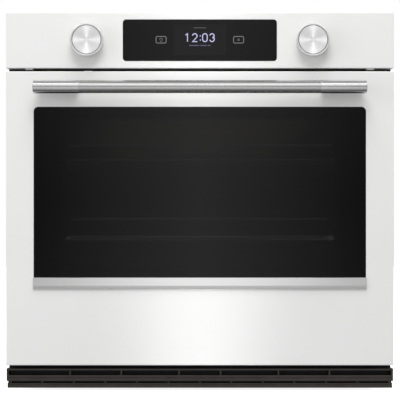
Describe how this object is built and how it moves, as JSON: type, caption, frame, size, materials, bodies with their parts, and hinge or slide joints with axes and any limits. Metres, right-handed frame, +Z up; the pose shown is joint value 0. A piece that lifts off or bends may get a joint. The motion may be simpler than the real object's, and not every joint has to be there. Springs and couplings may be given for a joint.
{
  "type": "wall oven",
  "caption": "Built-in single wall oven with a drop-down windowed door, bar handle, two rotary knobs and a central display.",
  "frame": {"origin": "under the chassis, midway across it, in the plane of the cabinet's face", "axes": "+Z up, -Y out of the cabinet towards the user, +X to the user's right"},
  "size_m": [0.7556, 0.6859, 0.7339],
  "materials": {
    "white_enamel": "satin white enamel on steel",
    "window_glass": "dark tinted, printed border",
    "display_glass": "gloss black",
    "clear_glass": "clear, tempered",
    "brushed_steel": "brushed along its length",
    "knob_metal": "turned, fine circular brushing",
    "galvanised": "galvanised sheet",
    "dark_trim": "satin dark brown paint",
    "oven_enamel": "speckled dark enamel",
    "rack_wire": "bright wire",
    "heater_tube": "dark oxide",
    "mineral_wool": "fibrous",
    "woven_seal": "braided glass fibre",
    "motor_steel": "zinc plated",
    "circuit_board": "solder mask with components",
    "black_plastic": "moulded",
    "white_plastic": "moulded",
    "lamp_ceramic": "unglazed",
    "lamp_glass": "clear",
    "screen": "dark display",
    "plated_steel": "zinc plated"
  },
  "bodies": {
    "chassis": {"base_pan": "galvanised", "left_side_panel": "galvanised", "right_side_panel": "galvanised", "top_cover": "galvanised", "rear_cover": "galvanised", "front_frame": "galvanised", "mounting_rails": "galvanised", "bottom_vent_trim": "dark_trim", "cavity_liner": "oven_enamel", "cavity_insulation": "mineral_wool", "left_rack_ladder": "rack_wire", "right_rack_ladder": "rack_wire", "broil_element": "heater_tube", "bake_element": "heater_tube", "fan_cover": "oven_enamel", "fan_motor": "motor_steel", "lamp_holder": "lamp_ceramic", "lamp_bulb": "lamp_glass", "lamp_lens": "lamp_glass", "temperature_probe": "plated_steel", "door_gasket": "woven_seal", "left_hinge_arm": "plated_steel", "right_hinge_arm": "plated_steel", "latch_motor": "motor_steel", "door_switch": "black_plastic", "blower_housing": "galvanised", "blower_motor": "motor_steel", "power_board": "circuit_board", "conduit_gland": "black_plastic", "control_panel": "white_enamel", "display_glass": "display_glass", "display_module": "screen", "encoders": "plated_steel", "glide_frame": "plated_steel"},
    "door": {"door_panel": "white_enamel", "window_glass": "window_glass", "window_trim": "brushed_steel", "handle_bar": "brushed_steel", "handle_mounts": "brushed_steel", "handle_screws": "plated_steel", "door_liner": "oven_enamel", "middle_glass": "clear_glass", "inner_glass": "clear_glass", "glass_bracket": "galvanised", "hinge_channels": "plated_steel", "hinge_springs": "plated_steel"},
    "upper_rack": {"upper_rack": "rack_wire"},
    "glide_rack": {"glide_rack": "rack_wire"},
    "fan": {"fan_blade": "plated_steel"},
    "blower": {"blower_wheel": "plated_steel"},
    "latch": {"latch_hook": "plated_steel"},
    "plunger": {"switch_plunger": "white_plastic"},
    "left_rotor": {"left_encoder_rotor": "black_plastic"},
    "right_rotor": {"right_encoder_rotor": "black_plastic"},
    "left_knob": {"left_knob_shaft": "plated_steel", "left_knob_ring": "knob_metal", "left_knob_disc": "knob_metal"},
    "right_knob": {"right_knob_shaft": "plated_steel", "right_knob_ring": "knob_metal", "right_knob_disc": "knob_metal"}
  },
  "joints": [
    {"name": "door_hinge", "type": "hinge", "parent": "chassis", "child": "door", "pos_m": [0, -0.036, 0.025], "axis": [1, 0, 0], "range_deg": [0, 90], "stiffness_Nm_per_rad": 30},
    {"name": "upper_rack_slide", "type": "slide", "parent": "chassis", "child": "upper_rack", "axis": [0, -1, 0], "range_m": [0, 0.315]},
    {"name": "glide_rack_slide", "type": "slide", "parent": "chassis", "child": "glide_rack", "axis": [0, -1, 0], "range_m": [0, 0.315]},
    {"name": "fan_spin", "type": "hinge", "parent": "chassis", "child": "fan", "pos_m": [0, 0.467, 0.33], "axis": [0, 1, 0], "continuous": true},
    {"name": "blower_spin", "type": "hinge", "parent": "chassis", "child": "blower", "pos_m": [0, 0.4, 0.613], "axis": [0, 0, 1], "continuous": true},
    {"name": "latch_turn", "type": "hinge", "parent": "chassis", "child": "latch", "pos_m": [0, 0.016, 0.57], "axis": [0, 0, -1], "range_deg": [0, 90]},
    {"name": "switch_press", "type": "slide", "parent": "chassis", "child": "plunger", "axis": [0, -1, 0], "range_m": [0, 0.0035]},
    {"name": "left_knob_turn", "type": "hinge", "parent": "chassis", "child": "left_rotor", "pos_m": [-0.22, -0.031, 0.6456], "axis": [0, -1, 0], "continuous": true},
    {"name": "left_knob_push", "type": "slide", "parent": "left_rotor", "child": "left_knob", "axis": [0, 1, 0], "range_m": [0, 0.001], "stiffness_N_per_m": 3000},
    {"name": "right_knob_turn", "type": "hinge", "parent": "chassis", "child": "right_rotor", "pos_m": [0.22, -0.031, 0.6456], "axis": [0, -1, 0], "continuous": true},
    {"name": "right_knob_push", "type": "slide", "parent": "right_rotor", "child": "right_knob", "axis": [0, 1, 0], "range_m": [0, 0.001], "stiffness_N_per_m": 3000}
  ],
  "couplings": [
    {"joint": "upper_rack_slide", "follows": "door_hinge", "m_per_rad": 0.2},
    {"joint": "glide_rack_slide", "follows": "door_hinge", "m_per_rad": 0.2},
    {"joint": "switch_press", "follows": "door_hinge", "m_per_rad": 0.002}
  ]
}
